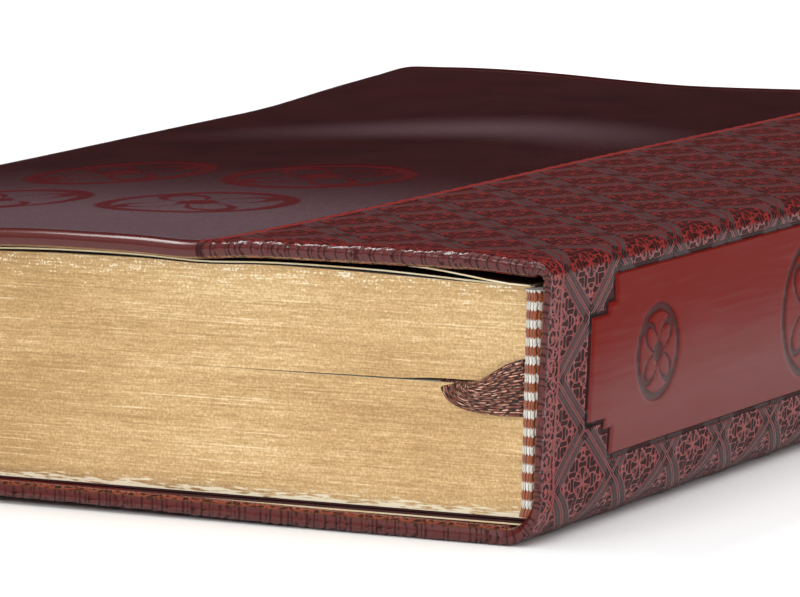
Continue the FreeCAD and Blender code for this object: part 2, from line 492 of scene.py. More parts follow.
class Stock:
    """Collects points and faces of one closed mesh, then makes the object."""

    def __init__(self) -> None:
        """Starts empty."""
        self.points: list = []
        self.faces: list = []
        self.slots: list = []
        self.uvs: list = []
        self.count = 0

    def place(self, points: Grid, uv: Optional[Grid] = None) -> Grid:
        """Adds points and returns their numbers in the shape of the grid.

        Args:
            points: an array whose last axis holds x, y and z in millimetres.
            uv: an array of the same shape with two numbers a point, or None for zeros.

        Returns:
            The points' numbers.
        """
        flat = points.reshape(-1, 3)
        self.points.append(flat)
        self.uvs.append(np.zeros((len(flat), 2)) if uv is None else uv.reshape(-1, 2))
        numbers = np.arange(self.count, self.count + len(flat)).reshape(points.shape[:-1])
        self.count += len(flat)
        return numbers

    def quads(self, numbers: Grid, slot: int = 0, flip: bool = False) -> None:
        """Adds the quads of a grid of point numbers."""
        a, b = numbers[:-1, :-1], numbers[:-1, 1:]
        c, d = numbers[1:, 1:], numbers[1:, :-1]
        order = (a, d, c, b) if flip else (a, b, c, d)
        self._keep(np.stack([o.ravel() for o in order], axis=1), slot)

    def triangles(self, corners: list, slot: int = 0) -> None:
        """Adds triangles from three arrays of point numbers."""
        self._keep(np.stack([c.ravel() for c in corners], axis=1), slot)

    def _keep(self, faces: Grid, slot: int) -> None:
        """Keeps faces and their material slot."""
        self.faces.append(faces)
        self.slots.append(np.full(len(faces), slot))

    def slab(
        self, upper: Grid, lower: Grid, stride: int, slots: tuple = (0, 0, 0), **uv: Grid
    ) -> None:
        """Closes an upper grid with a lower one whose points are stride times further apart.

        Args:
            upper: the outer face's grid of points.
            lower: the inner face's grid of points.
            stride: the number of upper steps in one lower step.
            slots: material slots of the upper face, the lower face and the walls.
            uv: "upper_uv" and "lower_uv", two numbers a point.
        """
        top = self.place(upper, uv.get("upper_uv"))
        bottom = self.place(lower, uv.get("lower_uv"))
        self.quads(top, slots[0])
        self.quads(bottom, slots[1], flip=True)
        outer, inner = rim(top), rim(bottom)
        ahead = np.roll(outer, -1)
        near = np.repeat(inner, stride)
        self.triangles([ahead, outer, near], slots[2])
        self.triangles([inner, np.roll(inner, -1), np.roll(outer, -stride)[::stride]], slots[2])

    def tube(self, rings: Grid, slot: int = 0, uv: Optional[Grid] = None) -> None:
        """Adds a tube from rings of points, closed round each ring and capped at both ends.

        Args:
            rings: points by ring, then round the ring.
            slot: the material slot.
            uv: two numbers a point.
        """
        numbers = self.place(rings, uv)
        self.quads(np.concatenate([numbers, numbers[:, :1]], axis=1), slot)
        for ring, flip in ((numbers[0], True), (numbers[-1], False)):
            centre_point = self._centre(ring)
            pair = (np.roll(ring, -1), ring) if flip else (ring, np.roll(ring, -1))
            self.triangles([pair[0], pair[1], np.full_like(ring, centre_point)], slot)

    def _centre(self, ring: Grid) -> int:
        """Adds the middle of a ring of known points and returns its number."""
        known = np.concatenate(self.points)
        known_uv = np.concatenate(self.uvs)
        return int(self.place(known[ring].mean(0)[None], known_uv[ring].mean(0)[None])[0])

    def make(
        self, name: str, finishes: list, shading: Shading = Shading.EDGED
    ) -> bpy.types.Object:
        """Makes the object, its faces turned outwards.

        Args:
            name: the object's name.
            finishes: its materials, by slot.
            shading: how the faces are shaded.

        Returns:
            The new object.
        """
        points = np.concatenate(self.points) * MM
        faces = self.faces
        if signed_volume(points, faces) < 0:
            faces = [f[:, ::-1] for f in faces]
        sizes = np.concatenate([np.full(len(f), f.shape[1]) for f in faces])
        corners = np.concatenate([f.ravel() for f in faces])
        mesh = bpy.data.meshes.new(name)
        mesh.vertices.add(len(points))
        mesh.vertices.foreach_set("co", points.astype(np.float32).ravel())
        mesh.loops.add(len(corners))
        mesh.loops.foreach_set("vertex_index", corners.astype(np.int32))
        mesh.polygons.add(len(sizes))
        starts = np.concatenate([[0], np.cumsum(sizes)[:-1]])
        mesh.polygons.foreach_set("loop_start", starts.astype(np.int32))
        mesh.polygons.foreach_set("material_index", np.concatenate(self.slots).astype(np.int32))
        mesh.update(calc_edges=True)
        layer = mesh.uv_layers.new(name="developed")
        uv = np.concatenate(self.uvs)[corners]
        layer.data.foreach_set("uv", uv.astype(np.float32).ravel())
        for finish in finishes:
            mesh.materials.append(finish)
        mesh.validate()
        if shading is not Shading.FLAT:
            mesh.shade_smooth()
        if shading is Shading.EDGED:
            mesh.set_sharp_from_angle(angle=EDGE_ANGLE)
        made = bpy.data.objects.new(name, mesh)
        bpy.context.scene.collection.objects.link(made)
        return made


def signed_volume(points: Grid, faces: list) -> float:
    """The volume inside a closed mesh, negative if its faces point inwards."""
    total = 0.0
    for block in faces:
        for k in range(1, block.shape[1] - 1):
            a, b, c = points[block[:, 0]], points[block[:, k]], points[block[:, k + 1]]
            total += float(np.einsum("ij,ij->", a, np.cross(b, c)))
    return total / 6.0


def rim(numbers: Grid) -> Grid:
    """The loop of point numbers round a grid's border."""
    return np.concatenate(
        [numbers[0, :-1], numbers[:-1, -1], numbers[-1, :0:-1], numbers[:0:-1, 0]]
    )


def paced(stops: list, multiple: int) -> Grid:
    """Positions along a line with a chosen pace in each stretch.

    Args:
        stops: (start, pace) pairs, the last one being (end, None).
        multiple: the number of steps is made a multiple of this.

    Returns:
        The positions.
    """
    parts = []
    for (start, pace), (end, _) in zip(stops, stops[1:]):
        steps = max(1, round(abs(end - start) / pace))
        if end == stops[-1][0]:
            steps += -(sum(len(p) for p in parts) + steps) % multiple
        parts.append(np.linspace(start, end, steps + 1)[:-1])
    return np.append(np.concatenate(parts), stops[-1][0])


def rolled_rows(half: float, radius: float, pace: float, multiple: int) -> Grid:
    """Positions from -half to half, crowded at both ends to draw a rounded edge.

    The first and last few lie at half - radius * (1 - cos(angle)) for even angles up to a
    quarter turn.

    Args:
        half: the last position.
        radius: the edge's radius.
        pace: the distance between positions away from the ends.
        multiple: the number of steps is made a multiple of this.

    Returns:
        The positions.
    """
    quarter = np.linspace(0.0, math.pi / 2, ROLL_STEPS + 1)
    edge = half - radius * (1.0 - np.cos(quarter))
    inner = edge[-1]
    steps = round(2 * inner / pace)
    steps += -(2 * ROLL_STEPS + steps) % multiple
    middle = np.linspace(-inner, inner, steps + 1)
    return np.concatenate([-edge[:-1], middle, edge[-2::-1]])


def edge_distance(x: Grid, y: Grid, fore: float, half: float, radius: float) -> Grid:
    """The distance inside an outline with two rounded fore-edge corners and no spine side."""
    across = fore + radius - x
    along = np.abs(y) - (half - radius)
    outside = np.hypot(np.maximum(across, 0.0), np.maximum(along, 0.0))
    inside = np.minimum(np.maximum(across, along), 0.0)
    return radius - outside - inside


def fore_line(y: Grid, fore: float, half: float, radius: float) -> Grid:
    """Where the fore edge lies at each place along the book, round its corners."""
    along = np.clip(np.abs(y) - (half - radius), 0.0, radius)
    return fore + radius - np.sqrt(np.maximum(radius**2 - along**2, 0.0))


# ---------------------------------------------------------------- the embossed pattern


@dataclass(frozen=True)
class Emboss:
    """The pattern pressed into the case, on the leather as it lies flat before covering.

    Places are given by s, the distance across from the front joint (rising over the front cover,
    falling down the spine and under the back cover), and y, the distance along the book.
    """

    across: float = 13.5
    along: float = 15.6
    node_s: float = -16.4
    node_y: float = -104.5
    bar: float = 1.3
    band_end: float = 43.5
    spine_top: float = -3.93
    panel_middle: float = -16.28
    panel_steps: tuple = ((96.4, 6.55), (92.2, 7.9), (90.2, 11.25))
    border: float = 3.4
    depth: float = 0.34

    @property
    def spacing(self) -> float:
        """The distance between two bars that run the same way."""
        return 1.0 / math.hypot(1.0 / self.across, 1.0 / self.along)

    def lattice(self, s: Quantity, y: Quantity) -> tuple:
        """Triple bars crossing in diamonds, with a four-petalled flower in each.

        With p and q the places along the two diagonals, a bar runs where p or q is near a whole
        number. Its height is a row of three ridges, smooth steps of the distance from set lines.
        A flower's outline is where the distance from the middle equals a petal length times 2 u v /
        (u u + v v).

        Args:
            s: distance across, in millimetres.
            y: distance along, in millimetres.

        Returns:
            The height from 0 to 1, where the bars are and where they cross.
        """
        u_place = (s - self.node_s) * (1.0 / self.across)
        v_place = (y - self.node_y) * (1.0 / self.along)
        to_p = from_nearest(u_place + v_place) * self.spacing
        to_q = from_nearest(u_place - v_place) * self.spacing
        near = least(to_p, to_q)
        bars = 1.0 - smooth(near, self.bar, self.bar + 0.16)
        line = least(absolute(near - 0.17), absolute(near - 1.22))
        faint = 1.0 - smooth(absolute(near - 0.7), 0.02, 0.10)
        ridges = greatest(1.0 - smooth(line, 0.05, 0.15), 0.35 * faint)
        crossing = 1.0 - smooth(greatest(to_p, to_q), self.bar, self.bar + 0.3)
        u, v = 0.5 * self.spacing - to_p, 0.5 * self.spacing - to_q
        away = reach(u, v) + 0.01
        square = away * away
        long_petal = absolute(away - 7.2 * (u * v) / square)
        difference = (u * u - v * v) / square
        short_petal = absolute(away - 1.9 * difference * difference)
        outline = 1.0 - smooth(least(long_petal, short_petal), 0.10, 0.26)
        turn = 2.0 * math.pi
        swirl = cosine(u * (turn / 1.7) + 1.1 * cosine(v * (turn / 2.3)))
        swirl = swirl + cosine(v * (turn / 1.7) + 1.1 * cosine(u * (turn / 2.3)))
        network = 1.0 - smooth(absolute(swirl), 0.30, 0.85)
        heart = 1.0 - smooth(away, 0.35, 0.6)
        filigree = greatest(greatest(outline, heart), 0.72 * network)
        cell = (0.12 + 0.78 * filigree) * (1.0 - bars)
        return bars * (0.08 + 0.92 * ridges) + cell, bars, crossing

    def scrolls(self, s: Quantity, inward: Quantity) -> Quantity:
        """A border of linked rings along an edge, from the distance in from that edge."""
        wave = from_nearest(s * (1.0 / 3.7)) * 3.7
        ring = absolute(reach(wave, inward - 1.75) - 1.1)
        small = absolute(reach(1.85 - wave, inward - 2.5) - 0.55)
        dot = reach(wave, inward - 1.75) - 0.28
        lines = least(least(ring, small), greatest(dot, 0.0))
        turn = 2.0 * math.pi
        curl = cosine(s * (turn / 1.55) + 1.4 * cosine(inward * (turn / 2.2)))
        curl = curl + cosine(inward * (turn / 1.5) + 1.4 * cosine(s * (turn / 2.05)))
        network = 1.0 - smooth(absolute(curl), 0.25, 0.75)
        return greatest(1.0 - smooth(lines, 0.09, 0.24), 0.7 * network)

    def wraps(self, s: Quantity, inward: Quantity) -> Quantity:
        """Slanting beads along a rolled edge, of uneven width and parted by narrow grooves."""
        sway = 0.30 * cosine(s * (2.0 * math.pi / 3.7)) + 0.16 * cosine(s * (2.0 * math.pi / 1.63))
        near = from_nearest((s + inward * 0.8 + sway) * (1.0 / 0.93)) * 0.93
        return 0.25 + 0.75 * smooth(near, 0.05, 0.28)

    def rope(self, s: Quantity, y: Quantity) -> Quantity:
        """A twisted rope that ends the pattern on the front cover."""
        from_middle = absolute(s - self.band_end)
        strands = 0.5 + 0.5 * cosine((y + (s - self.band_end) * 1.6) * (2.0 * math.pi / 3.9))
        body = 1.0 - smooth(from_middle, 0.5, 1.15)
        return body * (0.2 + 0.8 * strands)

    @staticmethod
    def rosette(u: Quantity, v: Quantity, size: float) -> Quantity:
        """The distance to a rosette's lines: a ring, a dot and four petals.

        A petal's outline is where the distance from the middle is a petal length times
        2 u v / (u u + v v).

        Args:
            u: distance from the middle one way.
            v: distance from the middle the other way.
            size: the ring's radius.

        Returns:
            The distance to the nearest line.
        """
        away = reach(u, v) + 0.01
        petal = absolute(away - 1.7 * size * absolute(u * v) / (away * away))
        dot = greatest(away - 0.14 * size, 0.0)
        return least(least(petal, absolute(away - size)), dot)

    def marks(self, s: Quantity, y: Quantity) -> Quantity:
        """The ornaments pressed into the smooth leather of the spine panel and front cover.

        Args:
            s: distance across, in millimetres.
            y: distance along, in millimetres.

        Returns:
            The share of a pressed line at each place.
        """
        up = s - self.panel_middle
        from_end = absolute(y) - 78.0
        small = self.rosette(from_end, up, 5.6) + greatest(absolute(from_end) - 9.0, 0.0)
        repeat = from_nearest((y - 10.4) * (1.0 / 20.8)) * 20.8
        large = self.rosette(repeat, up, 8.9) + greatest(absolute(y) - 41.5, 0.0)
        on_spine = least(small, large)
        row = from_nearest(y * (1.0 / 33.0)) * 33.0
        column = from_nearest((s - 69.0) * (1.0 / 32.0)) * 32.0
        off_field = greatest(absolute(s - 85.0) - 31.0, absolute(y + 49.5) - 30.5)
        on_cover = self.rosette(row, column, 12.5) + greatest(off_field, 0.0)
        spine_line = 1.0 - smooth(on_spine, 0.35, 0.65)
        cover_line = 1.0 - smooth(on_cover, 0.8, 1.5)
        return greatest(spine_line * smooth(-s, 4.0, 5.0), cover_line * smooth(s, 50.0, 51.0))

    def panel(self, s: Quantity, y: Quantity) -> Quantity:
        """The distance outside the smooth spine panel with its stepped corners."""
        up, along = absolute(s - self.panel_middle), absolute(y)
        outside = None
        for half_along, half_up in self.panel_steps:
            step = greatest(along - half_along, up - half_up)
            outside = step if outside is None else least(outside, step)
        return outside

    def relief(self, s: Quantity, y: Quantity) -> dict:
        """The whole pattern.

        Args:
            s: distance across, in millimetres.
            y: distance along, in millimetres.

        Returns:
            "height" from 0 to 1, "form" for its broad shapes alone, and the shares of "panel",
            "plain", pressed "marks", grey "bars", their "crossing" and rolled "edge" at each place.
        """
        inward = BOOK.half_length - absolute(y)
        height, bars, crossing = self.lattice(s, y)
        in_border = 1.0 - smooth(inward, self.border - 0.1, self.border + 0.1)
        line = 1.0 - smooth(absolute(inward - self.border - 0.25), 0.12, 0.34)
        edge = 1.0 - smooth(inward, 0.45, 0.7)
        border = greatest(self.scrolls(s, inward), edge * self.wraps(s, inward))
        height = height + (border - height) * in_border
        form = 0.35 + 0.3 * bars
        form = form + (0.35 + edge * (0.75 * self.wraps(s, inward) - 0.2) - form) * in_border
        height = greatest(height, line * 0.7)
        plain = smooth(s, self.band_end + 0.9, self.band_end + 1.2)
        height = height * (1.0 - smooth(s, self.band_end - 1.2, self.band_end - 0.9))
        height = greatest(height, self.rope(s, y))
        seam = smooth(absolute(inward - 3.2), 0.16, 0.5)
        height = height + (0.55 * seam - height) * plain
        form = form + (0.55 - form) * smooth(s, self.band_end - 1.2, self.band_end - 0.9)
        form = greatest(form, self.rope(s, y))
        outside = self.panel(s, y)
        panel = 1.0 - smooth(outside, -0.28, 0.0)
        moat = 1.0 - smooth(outside, 0.35, 0.6)
        height = height * (1.0 - moat)
        height = greatest(height, panel)
        marks = self.marks(s, y) * greatest(panel, plain)
        height = height - 0.5 * height * marks
        form = greatest(form * (1.0 - moat), panel)
        form = form - 0.5 * form * marks
        shares = {"panel": panel, "plain": plain, "marks": marks, "edge": edge}
        bars = bars * (1.0 - in_border)
        return {"height": height, "form": form, "bars": bars, "crossing": crossing, **shares}


EMBOSS = Emboss()
FLAT_PLACE = np.array([100.0, 0.0])
UV_SPAN = 320.0


def developed(s: Grid, y: Grid) -> Grid:
    """The UV pair of places on the flat leather, kept between 0 and 1."""
    return np.stack([s / UV_SPAN + 0.5, y / UV_SPAN + 0.5], axis=-1)


# ---------------------------------------------------------------- finishes


@dataclass(frozen=True)
class Leather:
    """Burgundy leather: embossed with recesses darkened by painted shade, or smooth with a fine
    grain and patches of painted sheen.
    """

    name: str = "burgundy_leather"
    lit: tuple = (0.250, 0.028, 0.025)
    panel: tuple = (0.170, 0.010, 0.006)
    # painted sheen: the paler, greyer red towards the lower part of the spine panel
    panel_sheen: tuple = (0.165, 0.024, 0.022)
    plain: tuple = (0.036, 0.0050, 0.0055)
    # painted sheen: a lavender tint on the smooth cover near the head edge and along one curved
    # band
    sheen_tint: tuple = (0.115, 0.070, 0.080)
    marked: tuple = (0.080, 0.005, 0.006)
    # painted shade: the dark colour of the pattern's recesses
    recess_shade: tuple = (0.036, 0.0120, 0.0120)
    groove: tuple = (0.072, 0.048, 0.050)
    # painted shade: darker still where two bars cross and in the pressed marks on the spine panel
    deep_shade: tuple = (0.020, 0.016, 0.016)
    # painted light: the smooth cover's head-edge bead is a lighter red where the light falls; the
    # same bead at the tail keeps the dark colour
    rim: tuple = (0.085, 0.010, 0.008)
    beads: tuple = (0.095, 0.010, 0.008)

    def make(self) -> bpy.types.Material:
        """Builds the material.

        Returns:
            The material, which reads the developed UV map for the pattern and the object
            coordinates for the grain.
        """
        bench = Bench(self.name)
        uv = bench.add("ShaderNodeUVMap", {"uv_map": "developed"}).outputs[0]
        u, v, _ = bench.axes(uv)
        s, y = (u - 0.5) * UV_SPAN, (v - 0.5) * UV_SPAN
        pattern = EMBOSS.relief(s, y)
        height, plain, panel = pattern["height"], pattern["plain"], pattern["panel"]
        marks, edge = pattern["marks"], pattern["edge"]
        point = bench.object_point()
        x, along, _ = bench.axes(point, 1.0 / MM)
        mottle = bench.noise(point, 90.0, 3.0)
        grain = bench.cells(point, 2300.0)
        fine = bench.noise(point, 5200.0, 2.0)
        streaks = bench.noise(bench.vector(s * 1.3, y * 0.07, 0.0), 1.0, 3.0)
        embossed_part = 1.0 - greatest(plain, panel)
        deep = smooth(height, 0.12, 0.62)
        # Painted shade: the ground between the raised lines is dark, and darker still where two
        # bars cross.
        ground = bench.blend(pattern["bars"], self.recess_shade, self.groove)
        ground = bench.blend(pattern["crossing"] * pattern["bars"], ground, self.deep_shade)
        raised = bench.blend(edge, self.lit, self.beads)
        embossed = bench.blend(deep, ground, raised)
        # Painted sheen: the spine panel turns paler and greyer towards its lower part, broken up by
        # the streaks.
        low = smooth(EMBOSS.panel_middle - s, -7.0, 8.0)
        panel_sheen_share = least(greatest(low + 0.9 * (streaks - 0.5), 0.0), 1.0)
        red = bench.blend(panel_sheen_share, self.panel, self.panel_sheen)
        deeper = tuple(c * 0.7 for c in self.plain)
        dark = bench.blend(smooth(mottle, 0.3, 0.75), self.plain, deeper)
        on_rim = 1.0 - smooth(BOOK.half_length + y, 2.9, 3.3)
        # Painted sheen: a lavender tint near the head edge and along a curved band across the
        # smooth cover.
        near_head = smooth(-along, 18.0, 88.0)
        bend = (x + 10.0) * (x + 10.0) * 0.008
        wear_and_sheen = reach((x + 10.0) * (1.0 / 40.0), (along - 34.0 + bend) * (1.0 / 19.0))
        sheen = greatest(near_head, 0.75 - 0.75 * smooth(wear_and_sheen, 0.0, 1.3)) * plain
        dark = bench.blend(sheen * (0.5 + 0.7 * grain), dark, self.sheen_tint)
        # Painted light on the head-edge bead of the smooth cover.
        dark = bench.blend(on_rim, dark, self.rim)
        dark = bench.blend(marks * 0.8, dark, self.marked)
        # Painted shade in the pressed marks on the spine panel.
        red = bench.blend(marks * 0.7, red, self.deep_shade)
        colour = bench.blend(plain, bench.blend(panel, embossed, red), dark)
        rough = 0.20 + 0.06 * mottle + 0.24 * sheen + 0.10 * (1.0 - plain)
        bench.feed(Base_Color=colour, Roughness=rough + 0.08 * panel * streaks)
        gloss = greatest(0.9 * plain * on_rim, (0.55 + 0.4 * edge) * deep * embossed_part)
        gloss = gloss + 0.34 * panel_sheen_share * panel
        bench.feed(Specular_IOR_Level=0.03, Coat_Weight=gloss, Coat_Roughness=0.16)
        pebbles = (1.0 - grain) * (0.012 + 0.010 * plain + 0.055 * near_head * plain)
        pebbles = pebbles + fine * 0.010 + streaks * 0.03 * panel
        bench.bump(height * 0.66 + pebbles, EMBOSS.depth * 1.25)
        return bench.material


@dataclass(frozen=True)
class Gilt:
    """Gold leaf on the cut edges of thin pages, with fine streaks along the leaves."""

    name: str = "gilt_edge"
    deep: tuple = (0.47, 0.29, 0.125)
    gold: tuple = (0.68, 0.45, 0.21)
    bright: tuple = (0.95, 0.74, 0.43)
    # cream: wear at the crown and along hairlines; at the foot partly wear and partly a painted
    # reflection of the floor
    wear_and_sheen: tuple = (1.0, 0.93, 0.70)

    def make(self) -> bpy.types.Material:
        """Builds the material: fine dashes along the leaves, grain, painted shade towards the fore
        edge, and cream where it is worn; along the foot the cream is partly wear and partly a
        painted reflection of the floor.

        Returns:
            The material, which reads the object coordinates.
        """
        bench = Bench(self.name)
        x, y, z = bench.axes(bench.object_point(), 1.0 / MM)
        line = bench.noise(bench.vector(x * 0.05, y * 0.05, z * 5.0), 1.0, 3.0)
        dash = bench.noise(bench.vector(x * 0.42, y * 0.42, z * 4.2), 1.0, 3.0)
        broad = bench.noise(bench.vector(x * 0.03, y * 0.03, z * 0.10), 1.0, 2.0)
        speck = bench.noise(bench.vector(x, y, z), 3.2, 2.0)
        tone = line * 0.34 + dash * 0.34 + speck * 0.44 + broad * 0.34 - 0.17
        # Painted shade: the gilt is darker towards the fore edge.
        tone = tone - 0.09 * smooth(-x, -40.0, 12.0)
        stops = [(0.40, self.deep), (0.56, self.gold), (0.74, self.bright)]
        colour = bench.ramp(tone, stops)
        # Cream at the foot is partly wear and partly painted reflection of the floor; at the crown
        # and in hairlines it is wear.
        up = z - (BOOK.block_bottom - DRAPE.back_sag)
        foot = smooth(0.62 - up * 0.40 + (dash - 0.5) * 1.9, 0.28, 0.50)
        down = (BOOK.block_top - DRAPE.settling - 0.2) - z
        crown = smooth(dash * 0.6 + speck * 0.5 - absolute(down - 0.6) * 0.035, 0.60, 0.66)
        hair = smooth(line * 0.75 + dash * 0.25, 0.62, 0.68) * 0.55
        wear_and_sheen = greatest(greatest(foot, crown), hair)
        colour = bench.blend(wear_and_sheen * 0.85, colour, self.wear_and_sheen)
        bench.feed(Base_Color=colour, Roughness=0.34 + 0.2 * speck, Metallic=0.62 - 0.6 * wear_and_sheen)
        bench.bump(line * 0.4 + dash * 0.4 + speck * 0.4, 0.05, 0.7)
        return bench.material


@dataclass(frozen=True)
class Paper:
    """Thin cream paper with a faint tooth and cloudy tone."""

    name: str
    tone: tuple = (0.80, 0.76, 0.66)
    shade: tuple = (0.70, 0.65, 0.54)

    def make(self) -> bpy.types.Material:
        """Builds the material."""
        bench = Bench(self.name)
        point = bench.object_point()
        cloud = bench.noise(point, 160.0, 4.0)
        tooth = bench.noise(point, 3800.0, 2.0)
        bench.feed(Base_Color=bench.blend(smooth(cloud, 0.3, 0.8), self.tone, self.shade))
        bench.feed(Roughness=0.78 + 0.1 * tooth, Specular_IOR_Level=0.25)
        bench.bump(tooth, 0.03, 0.6)
        return bench.material


@dataclass(frozen=True)
class Card:
    """Grey-brown binder's board with flecks of fibre."""

    name: str = "binders_board"
    tone: tuple = (0.40, 0.34, 0.26)
    fleck: tuple = (0.20, 0.16, 0.12)

    def make(self) -> bpy.types.Material:
        """Builds the material."""
        bench = Bench(self.name)
        point = bench.object_point()
        fibre = bench.noise(point, 900.0, 5.0)
        bench.feed(Base_Color=bench.blend(smooth(fibre, 0.45, 0.75), self.tone, self.fleck))
        bench.feed(Roughness=0.85 + 0.1 * fibre)
        bench.bump(fibre, 0.08, 0.7)
        return bench.material


@dataclass(frozen=True)
class BandThread:
    """White and rust silk, changing colour from one section to the next with a toothed line."""

    name: str = "band_thread"
    white: tuple = (0.80, 0.77, 0.70)
    rust: tuple = (0.40, 0.095, 0.026)
    shade: tuple = (0.085, 0.018, 0.010)

    def make(self) -> bpy.types.Material:
        """Builds the material: a stripe a section high, of strands that run along the band.

        Returns:
            The material, which reads the object coordinates.
        """
        bench = Bench(self.name)
        x, y, z = bench.axes(bench.object_point(), 1.0 / MM)
        low, high = BOOK.levels[0]
        pitch = high - low
        along = (x - LEAN.band_slope * z + absolute(y) * 0.35) * (1.0 / 0.42)
        teeth = from_nearest(along)
        strand = smooth(teeth, 0.0, 0.26)
        place = (z - BOOK.block_bottom + (teeth - 0.25) * 0.6) * (0.5 / pitch)
        stripe = smooth(from_nearest(place + 0.25), 0.215, 0.245)
        fuzz = bench.noise(bench.vector(x, y, z), 5.0, 3.0)
        # Painted shade: both the white and the rust darken in the narrow grooves between strands.
        white = bench.blend(strand, (0.34, 0.30, 0.25), self.white)
        rust = bench.blend(strand * (0.6 + 0.5 * fuzz), self.shade, self.rust)
        bench.feed(Base_Color=bench.blend(stripe, white, rust), Roughness=0.55 + 0.2 * fuzz)
        bench.feed(Sheen_Weight=0.3, Sheen_Roughness=0.4)
        bench.bump(strand * 0.7 + fuzz * 0.3, 0.14)
        return bench.material


@dataclass(frozen=True)
class Woven:
    """Plain-woven cloth or thread with crossing yarns."""

    name: str
    yarn: tuple
    gap: tuple
    pitch: float

    def make(self) -> bpy.types.Material:
        """Builds the material: two crossing sets of yarns, over and under in turn."""
        bench = Bench(self.name)
        x, y, z = bench.axes(bench.object_point(), 1.0 / MM)
        turn = 2.0 * math.pi / self.pitch
        warp = 0.5 + 0.5 * cosine((x + z) * turn)
        weft = 0.5 + 0.5 * cosine(y * turn)
        weave = greatest(warp, weft)
        fuzz = bench.noise(bench.vector(x, y, z), 4.0, 3.0)
        bench.feed(Base_Color=bench.blend(smooth(weave, 0.2, 0.8), self.gap, self.yarn))
        bench.feed(Roughness=0.7 + 0.2 * fuzz, Sheen_Weight=0.3)
        bench.bump(weave * 0.7 + fuzz * 0.3, 0.12)
        return bench.material


@dataclass(frozen=True)
class Satin:
    """Copper-brown ribbon: short floats of shiny thread on a darker ground."""

    name: str = "ribbon_satin"
    ground: tuple = (0.016, 0.005, 0.004)
    thread: tuple = (0.19, 0.050, 0.028)
    # painted highlight: the glints on the floats
    shine: tuple = (1.0, 0.56, 0.40)

    def make(self) -> bpy.types.Material:
        """Builds the material: short floats of thread, staggered from one strand to the next.

        Returns:
            The material, which reads the ribbon's own UV map, in millimetres along and across.
        """
        bench = Bench(self.name)
        uv = bench.add("ShaderNodeUVMap", {"uv_map": "developed"}).outputs[0]
        u, v, _ = bench.axes(uv, UV_SPAN)
        strand = (v * (1.0 / 0.36)).maths("FLOOR")
        column = from_nearest(v * (1.0 / 0.36)) * 2.0
        sway = bench.noise(bench.vector(u * 0.8, v * 1.5, 0.0), 1.0, 3.0)
        row = from_nearest((u + strand * 0.61) * (1.0 / 1.7) + sway * 1.3) * 2.0
        over = smooth(row, 0.10, 0.42) * smooth(column, 0.05, 0.5)
        sparkle = bench.noise(bench.vector(u * 0.9, v * 4.5, 0.0), 1.0, 3.0)
        colour = bench.blend(over, self.ground, self.thread)
        # Painted highlight: glints of the shine colour on the floats.
        colour = bench.blend(smooth(sparkle, 0.48, 0.66) * over, colour, self.shine)
        bench.feed(Base_Color=colour, Roughness=0.40 - 0.1 * over + 0.15 * sway)
        bench.feed(Sheen_Weight=0.08, Sheen_Roughness=0.35, Specular_IOR_Level=0.4)
        bench.bump(over * 0.7 + sparkle * 0.3, 0.16)
        return bench.material


@dataclass(frozen=True)
class Studio:
    """The pale matt floor."""

    name: str = "studio_floor"

    def make(self) -> bpy.types.Material:
        """Builds the material with a barely visible mottle."""
        bench = Bench(self.name)
        cloud = bench.noise(bench.object_point(), 3.0, 2.0)
        bench.feed(Base_Color=bench.blend(cloud, (0.92, 0.92, 0.92), (0.88, 0.88, 0.88)))
        bench.feed(Roughness=0.9, Specular_IOR_Level=0.1)
        return bench.material


@dataclass
class Finishes:
    """Every material, made once."""

    leather: bpy.types.Material
    gilt: bpy.types.Material
    page: bpy.types.Material
    endpaper: bpy.types.Material
    paper_edge: bpy.types.Material
    card: bpy.types.Material
    band: bpy.types.Material
    lining: bpy.types.Material
    thread: bpy.types.Material
    satin: bpy.types.Material
    floor: bpy.types.Material

    @classmethod
    def make(cls) -> "Finishes":
        """Builds them all."""
        return cls(
            leather=Leather().make(),
            gilt=Gilt().make(),
            page=Paper("page").make(),
            endpaper=Paper("endpaper", (0.060, 0.016, 0.017), (0.042, 0.012, 0.013)).make(),
            paper_edge=Paper("paper_edge", (0.93, 0.84, 0.60), (0.80, 0.60, 0.30)).make(),
            card=Card().make(),
            band=BandThread().make(),
            lining=Woven("lining_cloth", (0.78, 0.74, 0.64), (0.40, 0.34, 0.26), 0.9).make(),
            thread=Woven("sewing_thread", (0.82, 0.79, 0.70), (0.45, 0.40, 0.32), 0.4).make(),
            satin=Satin().make(),
            floor=Studio().make(),
        )


# ---------------------------------------------------------------- the leather case


